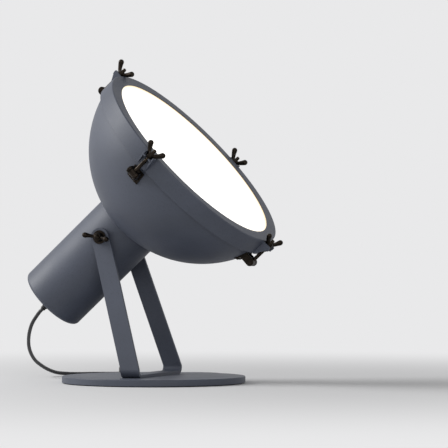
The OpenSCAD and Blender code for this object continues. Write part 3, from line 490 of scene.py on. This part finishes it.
# ---- cords: the routes are the part's own, in millimetres ----
CORD = 6.0
CORD_REST = 3.1
CROSSING = 9.7
STOW_TURN = radians(22)
SWITCH_AT = (-44.5, 211)
SWITCH_HALF = 27
SWITCH_UP = 7
COIL_AT = (62.5, 203)
COIL_RADIUS = 58
COIL_PITCH = 6.5
COIL_TURNS = 4
COIL_STEPS = 36
PLUG_UP = 7.5
BOOT_END = reach("cord_boot", HEAD)[2]


def stowed(points):
    return [(x * cos(STOW_TURN) - y * sin(STOW_TURN), x * sin(STOW_TURN) + y * cos(STOW_TURN), z)
            for x, y, z in points]


def on_axis(z):
    return tuple((HEAD @ Vector((0, 0, z * MM))) / MM)


def smooth_route(route, steps):
    """Points on the smooth curve through a route. Its first and last stretches stay straight, as at a fitting."""
    stops = [Vector(point) for point in route]
    points = [stops[0]]
    for i in range(1, len(stops) - 2):
        a, b, c, d = stops[i - 1:i + 3]
        for k in range(steps):
            s = k / steps
            points.append((2 * b + (c - a) * s + (2 * a - 5 * b + 4 * c - d) * s * s
                           + (3 * b - a - 3 * c + d) * s ** 3) / 2)
    return points + stops[-2:]


def coil_route():
    points = []
    for i in range(COIL_TURNS * COIL_STEPS + 1):
        turn = i / COIL_STEPS
        climb = max(0.0, 4 * (turn - COIL_TURNS) + 1)
        radius = COIL_RADIUS - COIL_PITCH * turn
        points.append((COIL_AT[0] - radius * cos(2 * pi * turn), COIL_AT[1] + radius * sin(2 * pi * turn),
                       CORD_REST + (CROSSING - CORD_REST) * climb * climb * (3 - 2 * climb)))
    return points


def tube(points, diameter):
    """A round tube along points in millimetres, with closed ends."""
    line = bpy.data.curves.new("line", "CURVE")
    line.dimensions = "3D"
    line.bevel_depth = diameter / 2 * MM
    line.bevel_resolution = 4
    line.use_fill_caps = True
    spline = line.splines.new("POLY")
    spline.points.add(len(points) - 1)
    for stop, point in zip(spline.points, points):
        stop.co = (*(Vector(point) * MM), 1)
    carrier = bpy.data.objects.new("carrier", line)
    bpy.context.scene.collection.objects.link(carrier)
    graph = bpy.context.evaluated_depsgraph_get()
    mesh = bpy.data.meshes.new_from_object(carrier.evaluated_get(graph))
    bpy.data.objects.remove(carrier)
    work = bmesh.new()
    work.from_mesh(mesh)
    bmesh.ops.remove_doubles(work, verts=work.verts, dist=0.001 * MM)
    bmesh.ops.recalc_face_normals(work, faces=work.faces)
    for face in work.faces:
        face.smooth = True
    work.to_mesh(mesh)
    work.free()
    mesh.set_sharp_from_angle(angle=radians(50))
    return mesh


HANGING = smooth_route(
    [on_axis(BOOT_END), on_axis(BOOT_END - 7), (-216, 5, 96.5), (-228, 19, 81), (-238, 37, 66.5),
     (-246, 57, 52.5), (-251, 78, 40), (-254, 101, 29), (-254, 125, 20), (-251, 148, 12)]
    + stowed([(-163, 249, 6), (-145, 260, 3.8), (-126, 267, CORD_REST), (-106, 272, CORD_REST),
              (-88, 274.5, CORD_REST), (-72, 273.5, CORD_REST), (-59, 268, 3.6), (-49, 258, 5.2),
              (SWITCH_AT[0], SWITCH_AT[1] + SWITCH_HALF + 7, SWITCH_UP),
              (SWITCH_AT[0], SWITCH_AT[1] + SWITCH_HALF, SWITCH_UP)]), 6)
FROM_SWITCH = smooth_route(stowed(
    [(SWITCH_AT[0], SWITCH_AT[1] - SWITCH_HALF, SWITCH_UP), (SWITCH_AT[0], SWITCH_AT[1] - SWITCH_HALF - 7, SWITCH_UP),
     (-41.2, 164.8, 5.2), (-32.2, 155.8, 3.6), (-20, 152.5, CORD_REST), (-7.8, 155.8, CORD_REST),
     (1.2, 164.8, CORD_REST), (4.5, 177, CORD_REST), (4.5, 190, CORD_REST), (4.5, 203, CORD_REST)]), 4)
TO_PLUG = smooth_route(stowed(
    [(30.5, 203, CROSSING), (30.7, 214, CROSSING), (31.4, 226, CROSSING), (32.4, 238, CROSSING),
     (33, 250, CROSSING), (33, 260, 8.8), (33, 268, 7.8), (33, 275, PLUG_UP), (33, 282, PLUG_UP)]), 4)
STOWED = FROM_SWITCH + [Vector(p) for p in stowed(coil_route())[1:]] + TO_PLUG[1:]


def switch_and_plug():
    """The in-line switch and the plug, as the part has them, with moulded corners."""
    made = {}
    for name, node, body, slot, edge in (
            ("switch_lower_shell", "switch_base", "base", "switch_plastic", 0.6),
            ("switch_upper_shell", "switch_cover", "base", "switch_plastic", 0.8),
            ("switch_rocker_key", "switch_rocker", "switch_rocker", "switch_plastic", 0.5),
            ("plug_moulding", "plug_body", "base", "plug_plastic", 1.0)):
        made[node] = piece(name, worn(node, edge), body, slot, [node])
    return made


fittings = switch_and_plug()
hanging_cord = piece("cord_from_lamp", tube(HANGING, CORD), "base", "cord_sheath", ["cord_hanging"], rides=False)
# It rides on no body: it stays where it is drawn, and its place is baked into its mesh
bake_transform(hanging_cord)
stowed_cord = piece("cord_to_plug", tube(STOWED, CORD), "base", "cord_sheath",
                    ["cord_middle", "cord_coil", "cord_tail"])


# ---- base and bracket ----
def base():
    upright = Matrix.Identity(4)
    reach_pad = reach("base_pad", upright)
    pad = [(0, reach_pad[2], 0), (reach_pad[1], reach_pad[2], 0.3), (reach_pad[1], reach_pad[3], 0.3),
           (0, reach_pad[3], 0)]
    piece("foot_pad", crisp(joined([spun(pad, upright, "pad_rubber", 192)])), "base", "pad_rubber", ["base_pad"])
    piece("round_base", crisp(worn("base_plate", 0.25, 40)), "base", "slate_paint", ["base_plate"])
    piece("u_bracket", worn("bracket", 0.7), "base", "slate_paint", ["bracket"])
    piece("friction_washers", worn("fibre_washers", 0.15), "base", "fibre", ["fibre_washers"])


# ---- head ----
WALL = 1.5
BOWL_RADIUS = 182.5
CAN = reach("can_shell", HEAD)
BOWL = reach("bowl_shell", HEAD)
BEZEL = reach("bezel_ring", HEAD)
CAN_RADIUS = BOWL[0]
CAN_EDGE = 6.0
BOWL_MIDDLE = BOWL[3] + sqrt(BOWL_RADIUS ** 2 - BOWL[1] ** 2)


def bowl():
    """The spun bowl, with its hole turned back as a narrow collar on the can and its rim flanged inwards."""
    inner = BOWL_RADIUS - WALL
    from_can = degrees(asin((CAN_RADIUS + 1.6) / BOWL_RADIUS))
    to_rim = degrees(asin(BOWL[1] / BOWL_RADIUS))
    inside_rim = degrees(asin(sqrt(inner ** 2 - (BOWL_MIDDLE - BOWL[3] + WALL) ** 2) / inner))
    inside_can = degrees(asin(CAN_RADIUS / inner))
    collar = BOWL_MIDDLE - BOWL_RADIUS * cos(radians(from_can)) - 3.2
    outside = arc(BOWL_MIDDLE, BOWL_RADIUS, from_can, to_rim, 64)
    inside = arc(BOWL_MIDDLE, inner, inside_rim, inside_can, 64)
    outside[0] = (*outside[0][:2], 1.0)
    outside[-1] = (*outside[-1][:2], 1.2)
    inside[0] = (*inside[0][:2], 0.6)
    outline = ([(CAN_RADIUS + 0.02, collar, 0.3), (CAN_RADIUS + 1.6, collar, 0.7)] + outside
               + [(BOWL[1] - 15, BOWL[3], 0.7), (BOWL[1] - 15, BOWL[3] - WALL, 0.7)] + inside)
    return crisp(joined([spun(outline, HEAD, "slate_paint", 256)]))


def can():
    """The can: a tube with a rolled rear edge and lip, a flange inside the bowl, and two posts for the bridge."""
    low, high = CAN[2], CAN[3]
    inner = BOWL_RADIUS - WALL
    start = degrees(asin(CAN_RADIUS / inner))
    flange = arc(BOWL_MIDDLE, inner, start, degrees(asin(CAN[1] / inner)), 6)
    back = arc(BOWL_MIDDLE, inner - WALL, degrees(asin(CAN[1] / (inner - WALL))),
               degrees(asin((CAN_RADIUS - WALL) / (inner - WALL))), 6)
    outline = ([(CAN[0], low, 0.6), (CAN_RADIUS, low, CAN_EDGE)] + flange + back
               + [(CAN_RADIUS - WALL, low + WALL, CAN_EDGE - WALL), (CAN[0], low + WALL, 0.6)])
    shell = spun(outline, HEAD, "slate_paint", 160, 8)
    post = [(0, 34.5, 0), (4.5, 34.5, 0.3), (4.5, high, 0.3), (0, high, 0)]
    posts = [spun(post, HEAD @ along(side * (CAN_RADIUS + 5)), "slate_paint", 32) for side in (-1, 1)]
    return crisp(joined([shell] + posts))


def bezel():
    """The pressed bezel ring: a deep band, and a lip turned in over the glass."""
    lip, outer, low, high = BEZEL
    outline = [(outer - 2, low, 0.8), (outer, low, 0.9), (outer, high, 2.2), (lip, high, 0.75),
               (lip, high - 1.6, 0.75), (outer - 2, high - 1.6, 0.6)]
    return crisp(joined([spun(outline, HEAD, "slate_paint", 256, 6)]))


def glass_and_seals():
    for name, node, slot, corner in (("opal_front", "glass_disc", "opal_glass", 0.8),
                                     ("gasket_behind_lip", "front_gasket", "seal_rubber", 0.3),
                                     ("seal_on_rim", "rear_seal", "seal_rubber", 1.2)):
        least, largest, low, high = reach(node, HEAD)
        inside = 0 if slot == "opal_glass" else least
        rounding = 0 if slot == "opal_glass" else corner
        outline = [(inside, low, rounding), (largest, low, corner), (largest, high, corner),
                   (inside, high, rounding)]
        piece(name, crisp(joined([spun(outline, HEAD, slot, 256)])), "head", slot, [node])


def boot():
    """The moulded strain relief: a neck in the gland, a collar, and a tail with flexing grooves."""
    bore = CORD / 2 + 0.05
    collar = BOOT_END + 16
    tail = [(bore, BOOT_END, 0.3), (bore + 1.0, BOOT_END, 0.5)]
    for i in range(4):
        low = BOOT_END + 2.2 + 3.3 * i
        radius = bore + 1.3 + 0.62 * i
        tail += [(radius, low, 0.3), (radius - 0.75, low + 0.7, 0.2), (radius - 0.75, low + 1.3, 0.2),
                 (radius + 0.35, low + 2.0, 0.3)]
    rest = [(6.7, collar, 0.4), (7.5, collar, 0.5), (7.5, collar + 3, 0.3), (4.5, collar + 3, 0.2),
            (4.5, collar + 18, 0.4), (bore, collar + 18, 0.2)]
    return crisp(joined([spun(tail + rest, HEAD, "boot_rubber", 64, 3)]))


def rivets():
    """Domed rivets, two through each fork's foot, square to the bowl."""
    stands = []
    for closure in CLOSURES:
        middle = HEAD @ Vector((0, 0, BOWL_MIDDLE * MM))
        pin = HEAD.inverted() @ Vector(joints[f"swing_bolt_{closure}_swing"]["pos_m"])
        turn = atan2(pin.y, pin.x)
        behind = asin((BOWL_MIDDLE * MM - pin.z + 10.5 * MM) / (BOWL_RADIUS * MM))
        for side in (-1, 1):
            angle = turn + side * 6 / BOWL_RADIUS
            out = HEAD.to_3x3() @ Vector((cos(behind) * cos(angle), cos(behind) * sin(angle), -sin(behind)))
            stands.append((middle + out * (BOWL_RADIUS + 2.5) * MM, out))
    dome = spun([(0, -0.2, 0), (3.0, -0.2, 0.1), (3.0, 0.25, 0.3), (2.3, 1.1, 1.2), (1.2, 1.55, 1.5), (0, 1.65, 0)],
                Matrix.Identity(4), "black_steel", 32, 3)
    return joined([set_out(dome, stands, "black_steel")])


def slotted_screws():
    """Pan-head screws with a sawn slot, three round the rear cap."""
    head = spun([(0, 0, 0), (3, 0, 0.15), (3, 0.7, 0.5), (2.2, 1.55, 1.0), (0, 1.9, 0)], Matrix.Identity(4),
                "black_steel", 40, 3)
    shank = spun([(0, -7, 0), (1.5, -7, 0.4), (1.5, 0.3, 0), (0, 0.3, 0)], Matrix.Identity(4), "black_steel", 24)
    saw = bpy.data.meshes.new("saw")
    work = bmesh.new()
    bmesh.ops.create_cube(work, size=1, matrix=along(0, 0, 1.9) @ Matrix.Diagonal((0.8 * MM, 8 * MM, 1.8 * MM, 1)))
    work.to_mesh(saw)
    work.free()
    blade = bpy.data.objects.new("blade", saw)
    bpy.context.scene.collection.objects.link(blade)
    sawn = evaluated(joined([head]), [("BOOLEAN", {"operation": "DIFFERENCE", "object": blade, "solver": "EXACT"})])
    bpy.data.objects.remove(blade)
    ring = (reach("cap_screws", HEAD)[0] + reach("cap_screws", HEAD)[1]) / 2
    back = HEAD.to_3x3() @ Vector((0, 0, -1))
    stands = [(HEAD @ turned(angle) @ Vector((ring * MM, 0, CAN[2] * MM)), back)
              for angle in (0, 2 * pi / 3, 4 * pi / 3)]
    return crisp(joined([set_out(joined([sawn, shank]), stands, "black_steel")]))


def head():
    piece("spun_bowl", bowl(), "head", "slate_paint", ["bowl_shell"])
    piece("spun_can", can(), "head", "slate_paint", ["can_shell"])
    piece("bezel_band", bezel(), "head", "slate_paint", ["bezel_ring"])
    piece("bezel_ear_brackets", worn("bezel_ears", 0.45), "head", "slate_paint", ["bezel_ears"])
    piece("stud_bosses", worn("can_bosses", 0.5), "head", "slate_paint", ["can_bosses"])
    piece("rear_cover", worn("rear_cap", 0.25), "head", "slate_paint", ["rear_cap"])
    piece("gland_body", worn("cord_gland", 0.5), "head", "black_steel", ["cord_gland"])
    piece("grooved_boot", boot(), "head", "boot_rubber", ["cord_boot"])
    piece("closure_forks", worn("forks", 0.5), "head", "black_steel", ["forks"])
    piece("hinge_pins", worn("fork_pins", 0.4), "head", "black_steel", ["fork_pins"])
    piece("domed_rivets", rivets(), "head", "black_steel", ["fork_rivets"])
    piece("slotted_cap_screws", slotted_screws(), "head", "black_steel", ["cap_screws"])
    glass_and_seals()
    lead = [(0, BOOT_END), (0, BOOT_END + 12), (0, CAN[2] - 0.5), (0, CAN[2] + 14.5), (0, CAN[2] + 25.5),
            (5, -105), (10, -80), (8, -52), (2, -28), (0, -9), (0, 0)]
    points = [HEAD @ (Vector((x, 0, z)) * MM) / MM for x, z in lead]
    piece("lead_in_head", tube(smooth_route(points, 5), CORD), "head", "boot_rubber", ["inner_lead"])


# ---- wing nuts, swing bolts and washers ----
def butterfly(place, bore, hub, hub_height, end_x, end_height, end_radius, web):
    """A cast wing nut on z = 0: a tapered hub and two wings that rise to round ends, blended as castings are,
    and then bored."""
    work = bmesh.new()
    bmesh.ops.create_cone(work, cap_ends=True, segments=64, radius1=hub * MM, radius2=0.8 * hub * MM,
                          depth=hub_height * MM, matrix=along(z=hub_height / 2))
    steps = 14
    for side in (-1, 1):
        for i in range(steps + 1):
            t = i / steps
            tall = 0.44 * hub_height * (1 - t) + end_radius * t
            thick = web * (1 - t ** 3) + 0.92 * end_radius * t ** 3
            wide = 1.8 * (1 - t) + end_radius * t
            x = hub * 0.55 + (end_x - hub * 0.55) * t
            z = 0.55 * hub_height + (end_height - 0.55 * hub_height) * t ** 1.3
            bmesh.ops.create_icosphere(work, subdivisions=3, radius=1, matrix=along(side * x, 0, z)
                                       @ Matrix.Diagonal((wide * MM, thick * MM, tall * MM, 1)))
    rough = bpy.data.meshes.new("rough")
    work.to_mesh(rough)
    work.free()
    cast = evaluated(rough, [("REMESH", {"mode": "VOXEL", "voxel_size": 0.42 * MM}),
                             ("SMOOTH", {"factor": 0.5, "iterations": 6})])
    work = bmesh.new()
    bmesh.ops.create_cone(work, cap_ends=True, segments=64, radius1=bore * MM, radius2=bore * MM,
                          depth=4 * hub_height * MM)
    drill_mesh = bpy.data.meshes.new("drill")
    work.to_mesh(drill_mesh)
    work.free()
    drill = bpy.data.objects.new("drill", drill_mesh)
    bpy.context.scene.collection.objects.link(drill)
    bored = evaluated(cast, [("BOOLEAN", {"operation": "DIFFERENCE", "object": drill, "solver": "EXACT"})])
    bpy.data.objects.remove(drill)
    nut = joined([bored], outward=False)
    nut.set_sharp_from_angle(angle=radians(50))
    nut.transform(place)
    return nut


def washer(node, place):
    least, largest, low, high = reach(node, place)
    outline = [(least, low, 0.15), (largest, low, 0.25), (largest, high, 0.3), (least, high, 0.15)]
    return crisp(joined([spun(outline, place, "black_steel", 64, 3)]))


BOLT = 3.0
STUD = 4.0


def swing_bolt(closure):
    """A swing bolt: an eye on the hinge pin, a plain shank, and a thread to its chamfered end."""
    place = closure_place(closure)
    node = f"swing_bolt_{closure}"
    end = reach(node, place)[3]
    eye_place = place_at(place.translation, place.to_3x3() @ Vector((0, 1, 0)), place.to_3x3() @ Vector((1, 0, 0)))
    eye = spun([(2.55, -5, 0.4), (6, -5, 0.7), (6, 5, 0.7), (2.55, 5, 0.4)], eye_place, "black_steel", 48)
    threaded = end - 25
    rod = spun([(0, 4, 0), (BOLT, 4, 0), (BOLT, threaded, 0), (BOLT - 0.35, threaded + 0.5, 0),
                (BOLT - 0.35, end - 0.9, 0), (BOLT - 1.1, end, 0), (0, end, 0)], place, "black_steel", 40)
    ridge = thread(place, BOLT - 0.4, BOLT, 1.0, threaded + 0.5, end - 1.0, "black_steel")
    return crisp(joined([eye, rod, ridge]), 50)


def closures():
    for closure in CLOSURES:
        place = closure_place(closure)
        nut = f"wing_nut_{closure}"
        seat = reach(nut, place)[2]
        turn = wing_turn(nut, place)
        piece(f"threaded_bolt_{closure}", swing_bolt(closure), f"swing_bolt_{closure}", "black_steel",
              [f"swing_bolt_{closure}"])
        piece(f"closure_washer_{closure}", washer(f"bolt_washer_{closure}", place), f"bolt_washer_{closure}",
              "black_steel", [f"bolt_washer_{closure}"])
        piece(f"butterfly_nut_{closure}", butterfly(place @ along(z=seat) @ turned(turn), BOLT + 0.05, 6.4, 8.0,
              14.0, 16.4, 4.6, 2.7), nut, "black_steel", [nut])


def tilt_locks():
    ends = {}
    for side in ("near", "far"):
        place = tilt_place(side)
        nut = f"tilt_nut_{side}"
        seat = reach(nut, place)[2]
        turn = wing_turn(nut, place)
        piece(f"tilt_washer_{side}_ring", washer(f"tilt_washer_{side}", place), f"tilt_washer_{side}",
              "black_steel", [f"tilt_washer_{side}"])
        piece(f"butterfly_tilt_nut_{side}", butterfly(place @ along(z=seat) @ turned(turn), STUD + 0.05, 8.0, 10.0,
              18.5, 15.0, 4.9, 2.8), nut, "black_steel", [nut])
        ends[side] = seat + 14
    # Each stud has a saddle head inside the can, and a thread from inside the arm to its end
    studs = []
    for side in ("near", "far"):
        place = tilt_place(side)
        end = ends[side]
        rod = spun([(0, 52.6, 0), (11, 52.6, 0.5), (11, 55.4, 0.3), (STUD, 55.5, 0), (STUD, 62, 0),
                    (STUD - 0.4, 62.5, 0), (STUD - 0.4, end - 1, 0), (STUD - 1.3, end, 0), (0, end, 0)],
                   place, "black_steel", 48)
        studs += [rod, thread(place, STUD - 0.45, STUD, 1.25, 62.5, end - 1.2, "black_steel")]
    piece("threaded_tilt_studs", crisp(joined(studs), 50), "head", "black_steel", ["tilt_studs"])


base()
head()
closures()
tilt_locks()


# ---- stage: a pale floor that runs out into a pale room, and soft studio light ----
PALE = "#e9e9ea"


def room():
    """Ambient light on the lamp, and the pale room where the camera, gloss or glass looks at it."""
    world = bpy.data.worlds.new("room")
    bpy.context.scene.world = world
    world.use_nodes = True
    tree = world.node_tree
    tree.nodes.clear()
    rays = add(tree, "ShaderNodeLightPath")
    seen = add(tree, "ShaderNodeMath", {0: rays.outputs["Is Camera Ray"], 1: rays.outputs["Is Glossy Ray"]},
               operation="MAXIMUM")
    seen = add(tree, "ShaderNodeMath", {0: seen.outputs[0], 1: rays.outputs["Is Transmission Ray"]},
               operation="MAXIMUM")
    light = add(tree, "ShaderNodeBackground", {"Color": linear("#ffffff"), "Strength": 0.34})
    wall = add(tree, "ShaderNodeBackground", {"Color": linear(PALE), "Strength": 1.0})
    mix = add(tree, "ShaderNodeMixShader", {0: seen.outputs[0], 1: light.outputs[0], 2: wall.outputs[0]})
    add(tree, "ShaderNodeOutputWorld", {"Surface": mix.outputs[0]})


def floor():
    """A pale floor: it keeps the lamp's shadow, and far off it fades into the room."""
    material = bpy.data.materials.new("pale_floor")
    material.use_nodes = True
    tree = material.node_tree
    tree.nodes.clear()
    place = add(tree, "ShaderNodeTexCoord").outputs["Object"]
    away = add(tree, "ShaderNodeVectorMath", {0: place}, operation="LENGTH")
    far = add(tree, "ShaderNodeMapRange", {"Value": away.outputs["Value"], "From Min": 0.3, "From Max": 1.5},
              interpolation_type="SMOOTHSTEP")
    rays = add(tree, "ShaderNodeLightPath")
    seen = add(tree, "ShaderNodeMath", {0: rays.outputs["Is Camera Ray"], 1: rays.outputs["Is Glossy Ray"]},
               operation="MAXIMUM")
    fade = add(tree, "ShaderNodeMath", {0: far.outputs["Result"], 1: seen.outputs[0]}, operation="MULTIPLY")
    near = add(tree, "ShaderNodeBsdfDiffuse", {"Color": linear("#e2e2e3")})
    beyond = add(tree, "ShaderNodeEmission", {"Color": linear(PALE), "Strength": 1.0})
    mix = add(tree, "ShaderNodeMixShader", {0: fade.outputs[0], 1: near.outputs[0], 2: beyond.outputs[0]})
    add(tree, "ShaderNodeOutputMaterial", {"Surface": mix.outputs[0]})
    work = bmesh.new()
    bmesh.ops.create_circle(work, cap_ends=True, radius=30, segments=64)
    mesh = bpy.data.meshes.new("floor")
    work.to_mesh(mesh)
    work.free()
    mesh.materials.append(material)
    stage = bpy.data.objects.new("floor", mesh)
    bpy.context.scene.collection.objects.link(stage)


def softbox(name, place, aim, size, power):
    """A square area light at a place, turned to a point, in metres and watts."""
    light = bpy.data.lights.new(name, "AREA")
    light.shape = "SQUARE"
    light.size = size
    light.energy = power
    made = bpy.data.objects.new(name, light)
    bpy.context.scene.collection.objects.link(made)
    made.location = place
    made.rotation_euler = (Vector(aim) - Vector(place)).to_track_quat("-Z", "Y").to_euler()


room()
floor()
softbox("key", (-2.3, -0.7, 1.5), (0, 0, 0.25), 1.3, 66)
softbox("fill", (1.2, -2.4, 1.2), (0, 0, 0.25), 1.6, 16)
